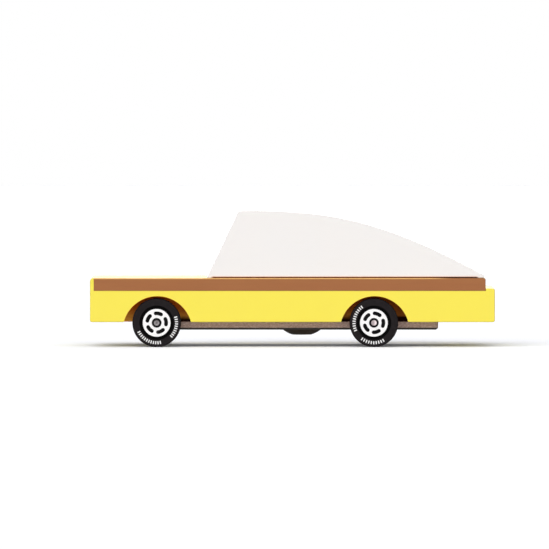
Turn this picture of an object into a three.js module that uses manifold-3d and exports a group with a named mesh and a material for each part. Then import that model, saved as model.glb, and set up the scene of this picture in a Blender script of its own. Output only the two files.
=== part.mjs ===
// A palm-size wooden toy car: a painted body block, a white cabin block on two dowels, a fibreboard
// chassis plate held by one screw, and four rubber-tyred wheels that turn freely on two steel axles.
// Millimetres, +Z up. The nose points to -X and the car stands on the floor, Z = 0, over the origin.
import * as THREE from "three";
import { mergeVertices } from "three/addons/utils/BufferGeometryUtils.js";
import Module from "manifold-3d";

const wasm = await Module();
wasm.setup();

// Body block
const carLength = 85;
const bodyWidth = 33;
const bodyHeight = 9.25;
const bodyAboveAxle = 0.15;
const noseTopRadius = 0.8;
const bodyCornerRadius = 0.5;
const bodyEdgeRadius = 0.2;
const tailStepLength = 1.95;
const tailStepBelowTop = 2.2;

// Wheel positions and arches
const noseToFrontAxle = 14;
const rearAxleToTail = 25.4;
const wheelInset = 0.2;
const archBeyondTyre = 2.15;
const archBelowAxle = 1.7;
const archBehindAxle = 0.15;
const archFootRadius = 0.5;

// Side bands let into the body
const bandAboveArch = 1.2;
const bandBehindNose = 0.85;
const bandThickness = 0.5;

// Cabin block
const cabinSideInset = 0.5;
const cabinHeight = 14.1;
const windscreenBehindNose = 24.5;
const windscreenRun = 6.7;
const headerRadius = 0.6;
const roofCrownRun = 17.8;
const cabinAheadOfUpperTail = 0.35;
const fastbackRun = 22.8;
const fastbackBelowRoof = 1.1;
const cabinTailHeight = 0.6;
const cabinTailRadius = 0.25;
const cabinEdgeRadius = 0.2;

// Dowels between body and cabin
const dowelRadius = 2;
const dowelDepth = 3.5;
const dowelChamfer = 0.4;
const frontDowelBehindWindscreen = 13;
const rearDowelAheadOfCabinTail = 18;

// Chassis plate
const plateThickness = 1.7;
const plateAheadOfAxle = 4;
const plateBehindAxle = 13.55;
const plateCornerRadius = 1.2;
const plateChamfer = 0.4;
const spotFaceDepth = 0.15;
const spotFaceMargin = 0.3;

// Chassis screw
const screwAheadOfRearAxle = 15.1;
const screwHeadRadius = 4.2;
const screwHeadHeight = 1.4;
const screwHeadRim = 0.2;
const screwHeadFlat = 1.9;
const screwShankRadius = 1.3;
const screwPilotBelowDowelHole = 0.5;
const screwTipLength = 1.5;
const recessLength = 2.8;
const recessWidth = 0.6;
const recessDepth = 0.55;

// Axles
const axleRadius = 0.45;
const axleHeadLip = 0.17;
const axleHeadThickness = 0.2;
const axleHeadChamfer = 0.08;
const axleDimpleRadius = 0.3;
const axleDimpleDepth = 0.07;

// Tyres
const tyreRadius = 5.1;
const tyreWidth = 4.4;
const tyreShoulder = 0.45;
const sidewallGrooveWidth = 0.65;
const sidewallGrooveDepth = 0.35;
const sidewallGrooveSlope = 0.1;

// Wheel hubs and their slotted discs
const discRadius = 2.92;
const discThickness = 0.45;
const discBelowSidewall = 0.3;
const hubSeatDepth = 0.45;
const hubFlangeThickness = 0.45;
const hubInnerSetback = 0.4;
const hubRimWall = 0.5;
const hubWebThickness = 0.8;
const hubSleeveRadius = 1.05;
const hubBossRadius = 0.97;
const hubBossProud = 0.15;
const thrustBossLength = 0.55;
const slotCount = 5;
const slotRingRadius = 1.99;
const slotWidth = 0.77;
const slotSweep = THREE.MathUtils.degToRad(34);
const frontWheelTurn = THREE.MathUtils.degToRad(-29);
const rearWheelTurn = THREE.MathUtils.degToRad(33);

// Clearances
const glueGap = 0.05;
const pressGap = 0.04;
const runningGap = 0.05;
const thrustGap = 0.15;
const blindHoleSpace = 0.3;
const cutMargin = 1;

// Facets on round pieces
const wheelSides = 36;
const hubSides = 24;
const axleSides = 16;
const dowelSides = 16;
const screwSides = 24;
const edgeSteps = 2;

// Places that follow from the sizes
const noseX = -carLength / 2;
const tailX = carLength / 2;
const upperTailX = tailX - tailStepLength;
const axleZ = tyreRadius;
const bodyBottomZ = axleZ + bodyAboveAxle;
const bodyTopZ = bodyBottomZ + bodyHeight;
const plateBottomZ = bodyBottomZ - plateThickness;
const screwSeatZ = plateBottomZ + spotFaceDepth;
const frontAxleX = noseX + noseToFrontAxle;
const rearAxleX = tailX - rearAxleToTail;
const wheelMidY = bodyWidth / 2 - wheelInset - tyreWidth / 2;
const thrustFaceY = wheelMidY - tyreWidth / 2 - thrustBossLength;
const coreHalfWidth = thrustFaceY - thrustGap;
const archRadius = tyreRadius + archBeyondTyre;
const archZ = axleZ - archBelowAxle;
const bandBottomZ = archZ + archRadius + bandAboveArch;
const bandFrontX = noseX + bandBehindNose;
const windscreenX = noseX + windscreenBehindNose;
const cabinWidth = bodyWidth - 2 * cabinSideInset;
const cabinTailX = upperTailX - cabinAheadOfUpperTail;
const frontDowelX = windscreenX + frontDowelBehindWindscreen;
const rearDowelX = cabinTailX - rearDowelAheadOfCabinTail;
const dowelHoleFloorZ = bodyTopZ - dowelDepth - blindHoleSpace;
const dowelHoleRoofZ = bodyTopZ + dowelDepth + blindHoleSpace;
const screwX = rearAxleX - screwAheadOfRearAxle;
const pilotTopZ = dowelHoleFloorZ - screwPilotBelowDowelHole;
const screwTipZ = pilotTopZ - blindHoleSpace;
const axleHeadRadius = axleRadius + axleHeadLip;
const hubSeatRadius = discRadius - hubSeatDepth;
const hubCupRadius = hubSeatRadius - hubRimWall;
const discFaceY = tyreWidth / 2 - discBelowSidewall;
const hubFaceY = discFaceY - discThickness;
const hubBossY = discFaceY + hubBossProud;
const hubInnerY = hubInnerSetback - tyreWidth / 2;
const hubThrustY = -tyreWidth / 2 - thrustBossLength;
const axleHeadY = wheelMidY + hubBossY + runningGap;

// A closed geometry as a solid that can be joined and cut
function solidFrom(geometry) {
  const bare = geometry.clone();
  bare.deleteAttribute("normal");
  bare.deleteAttribute("uv");
  const merged = mergeVertices(bare, 1e-4);
  const vertProperties = merged.attributes.position.array;
  const triVerts = new Uint32Array(merged.index.array);
  return new wasm.Manifold(new wasm.Mesh({ numProp: 3, vertProperties, triVerts }));
}

// A solid back as a geometry with one normal for each face
function geometryFrom(solid) {
  const { vertProperties, triVerts } = solid.getMesh();
  const geometry = new THREE.BufferGeometry();
  geometry.setAttribute("position", new THREE.BufferAttribute(vertProperties, 3));
  geometry.setIndex(new THREE.BufferAttribute(triVerts, 1));
  const faceted = geometry.toNonIndexed();
  faceted.computeVertexNormals();
  return faceted;
}

function cutAway(blank, cutters) {
  return cutters.reduce((solid, cutter) => solid.subtract(solidFrom(cutter)), blank);
}

function boxBetween(low, high) {
  const size = high.clone().sub(low);
  const middle = low.clone().add(high).divideScalar(2);
  return new THREE.BoxGeometry(size.x, size.y, size.z).translate(middle.x, middle.y, middle.z);
}

// A cylinder across the car, from one Y to the other
function crossCylinder(radius, x, z, lowY, highY, sides) {
  const geometry = new THREE.CylinderGeometry(radius, radius, highY - lowY, sides);
  return geometry.translate(x, (lowY + highY) / 2, z);
}

// An upright cylinder, from one Z to the other
function uprightCylinder(radius, x, lowZ, highZ, sides) {
  const geometry = new THREE.CylinderGeometry(radius, radius, highZ - lowZ, sides);
  return geometry.rotateX(Math.PI / 2).translate(x, 0, (lowZ + highZ) / 2);
}

// A closed outline through corners of the form { x, y, radius }, each corner rounded by its radius
function roundedOutline(corners) {
  const outline = new THREE.Shape();
  corners.forEach(({ x, y, radius }, index) => {
    const corner = new THREE.Vector2(x, y);
    const before = corners.at(index - 1);
    const after = corners[(index + 1) % corners.length];
    const entry = new THREE.Vector2(before.x, before.y).sub(corner).setLength(radius).add(corner);
    const exit = new THREE.Vector2(after.x, after.y).sub(corner).setLength(radius).add(corner);
    if (index === 0) outline.moveTo(entry.x, entry.y);
    else outline.lineTo(entry.x, entry.y);
    outline.quadraticCurveTo(x, y, exit.x, exit.y);
  });
  outline.closePath();
  return outline;
}

// A side outline, X and Z, carried across the car with rounded side edges
function extrudedAcross(outline, width, edgeRadius, curveSegments) {
  const geometry = new THREE.ExtrudeGeometry(outline, {
    depth: width - 2 * edgeRadius,
    bevelThickness: edgeRadius,
    bevelSize: edgeRadius,
    bevelOffset: -edgeRadius,
    bevelSegments: edgeSteps,
    curveSegments,
  });
  return geometry.translate(0, 0, edgeRadius - width / 2).rotateX(Math.PI / 2);
}

function material(color, roughness, metalness = 0) {
  return new THREE.MeshStandardMaterial({ color, roughness, metalness });
}

const yellowPaint = () => material(0xffec5f, 0.45);
const brownVeneer = () => material(0xa86f48, 0.6);
const whitePaint = () => material(0xf4f2ee, 0.5);
const rawBeech = () => material(0xcfa877, 0.75);
const fibreboard = () => material(0x967d6c, 0.85);
const darkBronze = () => material(0x3a2f26, 0.4, 0.9);
const brightSteel = () => material(0xb8b4b0, 0.3, 1);
const blackPlastic = () => material(0x1c1b1c, 0.45);
const whitePlastic = () => material(0xfafafa, 0.4);
const blackRubber = () => material(0x262426, 0.8);

function named(name, geometry, finish) {
  const mesh = new THREE.Mesh(geometry, finish);
  mesh.name = name;
  return mesh;
}

// The body before any cut: a long block whose tail is stepped out below like a bumper
function bodyBlank() {
  const corners = [
    { x: noseX, y: bodyBottomZ, radius: bodyCornerRadius },
    { x: tailX, y: bodyBottomZ, radius: bodyCornerRadius },
    { x: tailX, y: bodyTopZ - tailStepBelowTop, radius: bodyCornerRadius },
    { x: upperTailX, y: bodyTopZ - tailStepBelowTop, radius: bodyEdgeRadius },
    { x: upperTailX, y: bodyTopZ, radius: bodyCornerRadius },
    { x: noseX, y: bodyTopZ, radius: noseTopRadius },
  ];
  return solidFrom(extrudedAcross(roundedOutline(corners), bodyWidth, bodyEdgeRadius, 4));
}

// The space of a side band, grown by a gap for its pocket, which is open at the side and the top of the
// body; side is -1 on the left and 1 on the right
function bandBox(side, gap) {
  const innerY = side * (bodyWidth / 2 - bandThickness - gap);
  const outerY = side * (bodyWidth / 2 + cutMargin);
  const low = new THREE.Vector3(bandFrontX - gap, Math.min(innerY, outerY), bandBottomZ - gap);
  const high = new THREE.Vector3(upperTailX + gap, Math.max(innerY, outerY), bodyTopZ + cutMargin);
  return boxBetween(low, high);
}

// A wheel arch in side view: a wide arc whose feet are eased into the underside of the body
function archOutline() {
  const footZ = bodyBottomZ + archFootRadius;
  const footAngle = Math.asin((footZ - archZ) / archRadius);
  const kneeX = archRadius * Math.cos(footAngle);
  const toeX = kneeX + archFootRadius;
  const outline = new THREE.Shape();
  outline.moveTo(-toeX, bodyBottomZ - cutMargin);
  outline.lineTo(toeX, bodyBottomZ - cutMargin);
  outline.lineTo(toeX, bodyBottomZ);
  outline.quadraticCurveTo(kneeX, bodyBottomZ, kneeX, footZ);
  outline.absarc(0, archZ, archRadius, footAngle, Math.PI - footAngle, false);
  outline.quadraticCurveTo(-kneeX, bodyBottomZ, -toeX, bodyBottomZ);
  outline.closePath();
  return outline;
}

// The well behind an arch reaches in from one side of the body to the core between the wheels
function wheelWell(axleX, side) {
  const depth = bodyWidth / 2 + cutMargin - coreHalfWidth;
  const settings = { depth, bevelEnabled: false, curveSegments: 14 };
  const well = new THREE.ExtrudeGeometry(archOutline(), settings).rotateX(Math.PI / 2);
  return well.translate(axleX + archBehindAxle, side < 0 ? -coreHalfWidth : coreHalfWidth + depth, 0);
}

function axleGroove(axleX) {
  const reach = coreHalfWidth + cutMargin;
  return crossCylinder(axleRadius + pressGap, axleX, axleZ, -reach, reach, axleSides);
}

function dowelHole(dowelX, lowZ, highZ) {
  return uprightCylinder(dowelRadius + pressGap, dowelX, lowZ, highZ, dowelSides);
}

function bodyBlock() {
  const pilotRadius = screwShankRadius + pressGap;
  const cutters = [
    ...[frontAxleX, rearAxleX].flatMap((x) => [wheelWell(x, -1), wheelWell(x, 1), axleGroove(x)]),
    ...[frontDowelX, rearDowelX].map((x) => dowelHole(x, dowelHoleFloorZ, bodyTopZ + cutMargin)),
    uprightCylinder(pilotRadius, screwX, bodyBottomZ - cutMargin, pilotTopZ, screwSides),
    bandBox(-1, glueGap),
    bandBox(1, glueGap),
  ];
  return named("body_block", geometryFrom(cutAway(bodyBlank(), cutters)), yellowPaint());
}

// A band fills its pocket and takes its outer faces from the body, so it lies flush with the side and top
function sideBand(name, side) {
  const strip = bodyBlank().intersect(solidFrom(bandBox(side, 0)));
  return named(name, geometryFrom(strip), brownVeneer());
}

// The cabin in side view: a raked windscreen, then one long curve from the header to a low, blunt tail
function cabinOutline() {
  const roofZ = bodyTopZ + cabinHeight;
  const headerX = windscreenX + windscreenRun;
  const windscreenUp = new THREE.Vector2(windscreenRun, cabinHeight).setLength(headerRadius);
  const tail = new THREE.Vector2(cabinTailX, bodyTopZ + cabinTailHeight);
  const fastback = new THREE.Vector2(cabinTailX - fastbackRun, roofZ - fastbackBelowRoof);
  const fastbackUp = fastback.clone().sub(tail).setLength(cabinTailRadius);
  const outline = new THREE.Shape();
  outline.moveTo(windscreenX, bodyTopZ);
  outline.lineTo(cabinTailX, bodyTopZ);
  outline.lineTo(tail.x, tail.y - cabinTailRadius);
  outline.quadraticCurveTo(tail.x, tail.y, tail.x + fastbackUp.x, tail.y + fastbackUp.y);
  outline.bezierCurveTo(
    fastback.x,
    fastback.y,
    headerX + roofCrownRun,
    roofZ,
    headerX + headerRadius,
    roofZ,
  );
  outline.quadraticCurveTo(headerX, roofZ, headerX - windscreenUp.x, roofZ - windscreenUp.y);
  outline.closePath();
  return outline;
}

function cabinBlock() {
  const blank = solidFrom(extrudedAcross(cabinOutline(), cabinWidth, cabinEdgeRadius, 20));
  const belowCabinZ = bodyTopZ - cutMargin;
  const holes = [frontDowelX, rearDowelX].map((x) => dowelHole(x, belowCabinZ, dowelHoleRoofZ));
  return named("cabin_block", geometryFrom(cutAway(blank, holes)), whitePaint());
}

function cabinDowel(name, x) {
  const profile = [
    new THREE.Vector2(0, -dowelDepth),
    new THREE.Vector2(dowelRadius - dowelChamfer, -dowelDepth),
    new THREE.Vector2(dowelRadius, dowelChamfer - dowelDepth),
    new THREE.Vector2(dowelRadius, dowelDepth - dowelChamfer),
    new THREE.Vector2(dowelRadius - dowelChamfer, dowelDepth),
    new THREE.Vector2(0, dowelDepth),
  ];
  const geometry = new THREE.LatheGeometry(profile, dowelSides).rotateX(Math.PI / 2);
  const mesh = named(name, geometry, rawBeech());
  mesh.position.set(x, 0, bodyTopZ);
  return mesh;
}

// The plate is as wide as the body between its wheel wells, chamfered round its underside, and
// spot-faced there for the screw head
function chassisPlate() {
  const frontX = frontAxleX - plateAheadOfAxle;
  const rearX = rearAxleX + plateBehindAxle;
  const outline = roundedOutline([
    { x: frontX, y: -coreHalfWidth, radius: plateCornerRadius },
    { x: rearX, y: -coreHalfWidth, radius: plateCornerRadius },
    { x: rearX, y: coreHalfWidth, radius: plateCornerRadius },
    { x: frontX, y: coreHalfWidth, radius: plateCornerRadius },
  ]);
  const chamfered = new THREE.ExtrudeGeometry(outline, {
    depth: plateThickness,
    bevelThickness: plateChamfer,
    bevelSize: plateChamfer,
    bevelOffset: -plateChamfer,
    bevelSegments: 1,
    curveSegments: 5,
  }).translate(0, 0, plateBottomZ + plateChamfer);
  const holeRadius = screwShankRadius + runningGap;
  const spotFaceRadius = screwHeadRadius + spotFaceMargin;
  const belowPlateZ = plateBottomZ - cutMargin;
  const cutters = [
    boxBetween(
      new THREE.Vector3(frontX - cutMargin, -bodyWidth, bodyBottomZ),
      new THREE.Vector3(rearX + cutMargin, bodyWidth, bodyTopZ),
    ),
    axleGroove(frontAxleX),
    axleGroove(rearAxleX),
    uprightCylinder(holeRadius, screwX, belowPlateZ, bodyTopZ, screwSides),
    uprightCylinder(spotFaceRadius, screwX, belowPlateZ, screwSeatZ, screwSides),
  ];
  return named("chassis_plate", geometryFrom(cutAway(solidFrom(chamfered), cutters)), fibreboard());
}

// A low domed screw head under the plate, with a cross recess and a plain shank up into the body
function chassisScrew() {
  const dome = new THREE.QuadraticBezierCurve(
    new THREE.Vector2(screwHeadFlat, -screwHeadHeight),
    new THREE.Vector2((screwHeadFlat + screwHeadRadius) / 2, -screwHeadHeight),
    new THREE.Vector2(screwHeadRadius, -screwHeadRim),
  );
  const shankTop = screwTipZ - screwSeatZ;
  const profile = [
    new THREE.Vector2(0, -screwHeadHeight),
    ...dome.getPoints(5),
    new THREE.Vector2(screwHeadRadius, 0),
    new THREE.Vector2(screwShankRadius, 0),
    new THREE.Vector2(screwShankRadius, shankTop - screwTipLength),
    new THREE.Vector2(0, shankTop),
  ];
  const blank = solidFrom(new THREE.LatheGeometry(profile, screwSides).rotateX(Math.PI / 2));
  const recessHeight = 2 * recessDepth;
  const cutters = [
    new THREE.BoxGeometry(recessLength, recessWidth, recessHeight).translate(0, 0, -screwHeadHeight),
    new THREE.BoxGeometry(recessWidth, recessLength, recessHeight).translate(0, 0, -screwHeadHeight),
  ];
  const mesh = named("chassis_screw", geometryFrom(cutAway(blank, cutters)), darkBronze());
  mesh.position.set(screwX, 0, screwSeatZ);
  return mesh;
}

// A steel pin with a peened, dimpled head at each end
function axle(name, x) {
  const headEndY = axleHeadY + axleHeadThickness;
  const rightEnd = [
    new THREE.Vector2(axleRadius, axleHeadY),
    new THREE.Vector2(axleHeadRadius, axleHeadY),
    new THREE.Vector2(axleHeadRadius, headEndY - axleHeadChamfer),
    new THREE.Vector2(axleHeadRadius - axleHeadChamfer, headEndY),
    new THREE.Vector2(axleDimpleRadius, headEndY),
    new THREE.Vector2(0, headEndY - axleDimpleDepth),
  ];
  const leftEnd = rightEnd.map((point) => new THREE.Vector2(point.x, -point.y)).reverse();
  const geometry = new THREE.LatheGeometry([...leftEnd, ...rightEnd], axleSides);
  const mesh = named(name, geometry, brightSteel());
  mesh.position.set(x, 0, axleZ);
  return mesh;
}

// The profiles below run round the Y axis, with +Y to the outer face of the wheel.
// One sidewall of the tyre: the raised face, the groove inside it and the recess over the hub flange
function sidewallProfile() {
  const faceY = tyreWidth / 2;
  const grooveY = faceY - sidewallGrooveDepth;
  const openingRadius = discRadius + pressGap;
  const grooveRadius = openingRadius + sidewallGrooveWidth - sidewallGrooveSlope;
  const shoulder = new THREE.EllipseCurve(
    tyreRadius - tyreShoulder,
    faceY - tyreShoulder,
    tyreShoulder,
    tyreShoulder,
    0,
    Math.PI / 2,
  );
  return [
    ...shoulder.getPoints(3),
    new THREE.Vector2(grooveRadius + sidewallGrooveSlope, faceY),
    new THREE.Vector2(grooveRadius, grooveY),
    new THREE.Vector2(openingRadius, grooveY),
  ];
}

function tyreGeometry() {
  const outside = sidewallProfile();
  const inside = outside.map((point) => new THREE.Vector2(point.x, -point.y)).reverse();
  const openingRadius = discRadius + pressGap;
  const seatRadius = hubSeatRadius + pressGap;
  const outerLipY = hubFaceY - hubFlangeThickness - pressGap;
  const innerLipY = hubInnerY + hubFlangeThickness + pressGap;
  const profile = [
    ...inside,
    ...outside,
    new THREE.Vector2(openingRadius, outerLipY),
    new THREE.Vector2(seatRadius, outerLipY),
    new THREE.Vector2(seatRadius, innerLipY),
    new THREE.Vector2(openingRadius, innerLipY),
    inside[0].clone(),
  ];
  return new THREE.LatheGeometry(profile, wheelSides);
}

// The hub is a moulded drum: two flanges hold the tyre, and a web carries the sleeve on the axle
function hubGeometry() {
  const boreRadius = axleRadius + runningGap;
  const webY = hubFaceY - hubWebThickness;
  const profile = [
    new THREE.Vector2(boreRadius, hubThrustY),
    new THREE.Vector2(hubSleeveRadius, hubThrustY),
    new THREE.Vector2(hubSleeveRadius, webY),
    new THREE.Vector2(hubCupRadius, webY),
    new THREE.Vector2(hubCupRadius, hubInnerY),
    new THREE.Vector2(discRadius, hubInnerY),
    new THREE.Vector2(discRadius, hubInnerY + hubFlangeThickness),
    new THREE.Vector2(hubSeatRadius, hubInnerY + hubFlangeThickness),
    new THREE.Vector2(hubSeatRadius, hubFaceY - hubFlangeThickness),
    new THREE.Vector2(discRadius, hubFaceY - hubFlangeThickness),
    new THREE.Vector2(discRadius, hubFaceY),
    new THREE.Vector2(hubBossRadius, hubFaceY),
    new THREE.Vector2(hubBossRadius, hubBossY),
    new THREE.Vector2(boreRadius, hubBossY),
    new THREE.Vector2(boreRadius, hubThrustY),
  ];
  return new THREE.LatheGeometry(profile, hubSides);
}

function circlePoints(radius, sides) {
  return new THREE.EllipseCurve(0, 0, radius, radius).getPoints(sides).slice(0, sides);
}

// A curved slot with round ends, following the ring round the boss
function slotPath(angle) {
  const start = angle - slotSweep / 2;
  const end = angle + slotSweep / 2;
  const endRadius = slotWidth / 2;
  const ring = (turn) => new THREE.Vector2(Math.cos(turn), Math.sin(turn)).multiplyScalar(slotRingRadius);
  const path = new THREE.Path();
  path.absarc(0, 0, slotRingRadius + endRadius, start, end, false);
  path.absarc(ring(end).x, ring(end).y, endRadius, end, end + Math.PI, false);
  path.absarc(0, 0, slotRingRadius - endRadius, end, start, true);
  path.absarc(ring(start).x, ring(start).y, endRadius, start + Math.PI, start + 2 * Math.PI, false);
  return path;
}

function discGeometry() {
  const outline = new THREE.Shape(circlePoints(discRadius, wheelSides));
  outline.holes.push(new THREE.Path(circlePoints(hubBossRadius + pressGap, hubSides)));
  for (let index = 0; index < slotCount; index += 1) {
    outline.holes.push(slotPath((index * 2 * Math.PI) / slotCount));
  }
  const settings = { depth: discThickness, bevelEnabled: false, curveSegments: 2 };
  const geometry = new THREE.ExtrudeGeometry(outline, settings);
  return geometry.rotateX(-Math.PI / 2).translate(0, hubFaceY, 0);
}

// One wheel: the tyre, and inside it the hub and disc turned to where the wheel has stopped
function wheel(prefix, axleX, side, turn) {
  const group = new THREE.Group();
  group.position.set(axleX, side * wheelMidY, axleZ);
  group.rotation.z = side < 0 ? Math.PI : 0;
  const stopped = new THREE.Group();
  stopped.rotation.y = turn;
  stopped.add(named(`${prefix}_wheel_hub`, hubGeometry(), blackPlastic()));
  stopped.add(named(`${prefix}_wheel_disc`, discGeometry(), whitePlastic()));
  group.add(named(`${prefix}_tyre`, tyreGeometry(), blackRubber()), stopped);
  return group;
}

const car = new THREE.Group();
car.name = "toy_car";
car.add(
  bodyBlock(),
  sideBand("side_band_left", -1),
  sideBand("side_band_right", 1),
  cabinBlock(),
  cabinDowel("cabin_dowel_front", frontDowelX),
  cabinDowel("cabin_dowel_rear", rearDowelX),
  chassisPlate(),
  chassisScrew(),
  axle("front_axle", frontAxleX),
  axle("rear_axle", rearAxleX),
  wheel("front_left", frontAxleX, -1, frontWheelTurn),
  wheel("front_right", frontAxleX, 1, frontWheelTurn),
  wheel("rear_left", rearAxleX, -1, rearWheelTurn),
  wheel("rear_right", rearAxleX, 1, rearWheelTurn),
);

export default car;
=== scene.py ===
"""Looks of a palm-size wooden toy car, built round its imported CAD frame.

The nose points to -X, the left side faces -Y and the car stands on the floor, Z = 0. Metres throughout.
"""

import math

import bmesh
import bpy
from mathutils import Matrix, Vector
from mathutils.geometry import tessellate_polygon


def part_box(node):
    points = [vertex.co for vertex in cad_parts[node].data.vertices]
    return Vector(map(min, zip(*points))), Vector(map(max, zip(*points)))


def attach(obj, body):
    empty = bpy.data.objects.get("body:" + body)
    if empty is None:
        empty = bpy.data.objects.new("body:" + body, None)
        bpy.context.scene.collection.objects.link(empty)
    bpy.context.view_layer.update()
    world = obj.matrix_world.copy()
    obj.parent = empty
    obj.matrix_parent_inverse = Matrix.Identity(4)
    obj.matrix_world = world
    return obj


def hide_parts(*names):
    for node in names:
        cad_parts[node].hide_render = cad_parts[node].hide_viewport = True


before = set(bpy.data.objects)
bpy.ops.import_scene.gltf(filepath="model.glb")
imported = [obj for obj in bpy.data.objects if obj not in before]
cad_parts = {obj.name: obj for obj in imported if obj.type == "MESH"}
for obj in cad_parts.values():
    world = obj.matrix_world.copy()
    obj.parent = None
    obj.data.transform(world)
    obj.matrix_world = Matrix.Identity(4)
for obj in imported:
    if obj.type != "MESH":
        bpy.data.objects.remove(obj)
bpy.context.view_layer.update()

MM = 0.001

# Body block
NOSE_TOP_RADIUS = 0.8 * MM
BODY_CORNER_RADIUS = 0.5 * MM
BODY_EDGE_RADIUS = 0.2 * MM
TAIL_STEP_LENGTH = 1.95 * MM
TAIL_STEP_BELOW_TOP = 2.2 * MM

# Wheel arches
ARCH_BEYOND_TYRE = 2.15 * MM
ARCH_BELOW_AXLE = 1.7 * MM
ARCH_BEHIND_AXLE = 0.15 * MM
ARCH_FOOT_RADIUS = 0.5 * MM
ARCH_EDGE_EASE = 0.06 * MM

# Side bands
BAND_END_EASE = 0.01 * MM

# Cabin block
CABIN_HEIGHT = 14.1 * MM
WINDSCREEN_RUN = 6.7 * MM
HEADER_RADIUS = 0.6 * MM
ROOF_CROWN_RUN = 17.8 * MM
FASTBACK_RUN = 22.8 * MM
FASTBACK_BELOW_ROOF = 1.1 * MM
CABIN_TAIL_HEIGHT = 0.6 * MM
CABIN_TAIL_RADIUS = 0.25 * MM
CABIN_EDGE_RADIUS = 0.2 * MM

# Chassis plate and its screw
PLATE_CORNER_RADIUS = 1.2 * MM
PLATE_CHAMFER = 0.4 * MM
PLATE_EDGE_EASE = 0.06 * MM
SPOT_FACE_DEPTH = 0.15 * MM
SPOT_FACE_MARGIN = 0.3 * MM
SCREW_HEAD_RIM = 0.2 * MM
SCREW_HEAD_FLAT = 1.9 * MM
SCREW_HEAD_HEIGHT = 1.4 * MM
SCREW_DOME_DEPTH = 1.15 * MM
SCREW_SHANK_RADIUS = 1.3 * MM
SCREW_TIP_LENGTH = 1.5 * MM
SCREW_EASE = 0.08 * MM
RECESS_LENGTH = 2.8 * MM
RECESS_WIDTH = 0.6 * MM
RECESS_DEPTH = 0.55 * MM

# Axles
AXLE_RADIUS = 0.45 * MM
AXLE_HEAD_THICKNESS = 0.2 * MM
AXLE_HEAD_CHAMFER = 0.08 * MM
AXLE_DIMPLE_RADIUS = 0.3 * MM
AXLE_DIMPLE_DEPTH = 0.07 * MM

# Tyres
TYRE_SHOULDER = 0.45 * MM
SIDEWALL_GROOVE_WIDTH = 0.65 * MM
SIDEWALL_GROOVE_DEPTH = 0.35 * MM
SIDEWALL_GROOVE_SLOPE = 0.1 * MM
TYRE_EASE = 0.06 * MM
TYRE_LIP_EASE = 0.02 * MM

# White bars printed on the sidewalls
BAR_INNER_RADIUS = 3.85 * MM
BAR_OUTER_RADIUS = 4.5 * MM
BAR_PITCH = 0.5 * MM
BAR_WIDTH = 0.26 * MM
BAR_CORNER_RADIUS = 0.06 * MM
BAR_RAISED = 0.02 * MM

# Hubs and slotted discs
DISC_EASE = 0.04 * MM
HUB_SEAT_DEPTH = 0.45 * MM
HUB_FLANGE_THICKNESS = 0.45 * MM
HUB_RIM_WALL = 0.5 * MM
HUB_WEB_THICKNESS = 0.8 * MM
HUB_SLEEVE_RADIUS = 1.05 * MM
HUB_BOSS_RADIUS = 0.97 * MM
HUB_INNER_SETBACK = 0.4 * MM
HUB_EASE = 0.06 * MM
SLOT_COUNT = 5
SLOT_RING_RADIUS = 1.99 * MM
SLOT_WIDTH = 0.77 * MM
SLOT_SWEEP = math.radians(34)

# Clearances
GLUE_GAP = 0.05 * MM
PRESS_GAP = 0.04 * MM
RUNNING_GAP = 0.05 * MM
BLIND_HOLE_SPACE = 0.3 * MM
CUT_MARGIN = 1 * MM
WELD_DISTANCE = 0.0001 * MM

# Facets
EDGE_STEPS = 6
CORNER_STEPS = 6
EASE_STEPS = 3
SMALL_CORNER_STEPS = 4
PLATE_CORNER_STEPS = 8
SLOT_STEPS = 10
SCREW_DOME_STEPS = 16
ARCH_STEPS = 72
ROOF_STEPS = 72
WHEEL_SIDES = 128
FLOOR_SIDES = 96
SCREW_SIDES = 72
BOSS_HOLE_SIDES = 64
AXLE_SIDES = 48
HOLE_SIDES = 32
SMOOTH_ANGLE = math.radians(35)

# Places that follow from the frame
body_low, body_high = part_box("body_block")
band_low, band_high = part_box("side_band_left")
cabin_low, cabin_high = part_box("cabin_block")
plate_low, plate_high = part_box("chassis_plate")
screw_low, screw_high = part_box("chassis_screw")
half_width = body_high.y
core_half_width = plate_high.y
upper_tail_x = body_high.x - TAIL_STEP_LENGTH
step_top_z = body_high.z - TAIL_STEP_BELOW_TOP
screw_centre = (screw_low + screw_high) / 2
screw_seat_z = plate_low.z + SPOT_FACE_DEPTH
screw_head_radius = (screw_high.x - screw_low.x) / 2
front_axle, rear_axle = (sum(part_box(name), Vector()) / 2 for name in ("front_axle", "rear_axle"))
axle_centres = (front_axle, rear_axle)
DOWELS = "cabin_dowel_front", "cabin_dowel_rear"


class Signal:
    """A node's output in a finish. Arithmetic on it adds Math nodes to that finish."""

    def __init__(self, finish, socket):
        self.finish = finish
        self.socket = socket

    def math(self, operation, *values):
        return self.finish.node("ShaderNodeMath", {"operation": operation}, dict(enumerate(values)))

    def __add__(self, other):
        return self.math("ADD", self, other)

    def __radd__(self, other):
        return self.math("ADD", other, self)

    def __sub__(self, other):
        return self.math("SUBTRACT", self, other)

    def __rsub__(self, other):
        return self.math("SUBTRACT", other, self)

    def __mul__(self, other):
        return self.math("MULTIPLY", self, other)

    def __rmul__(self, other):
        return self.math("MULTIPLY", other, self)

    def span(self, low, high):
        """0 where the signal is at or below low, 1 at or above high, and a smooth rise between."""
        settings = {"interpolation_type": "SMOOTHSTEP"}
        sockets = {"Value": self, "From Min": low, "From Max": high}
        return self.finish.node("ShaderNodeMapRange", settings, sockets)


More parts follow.
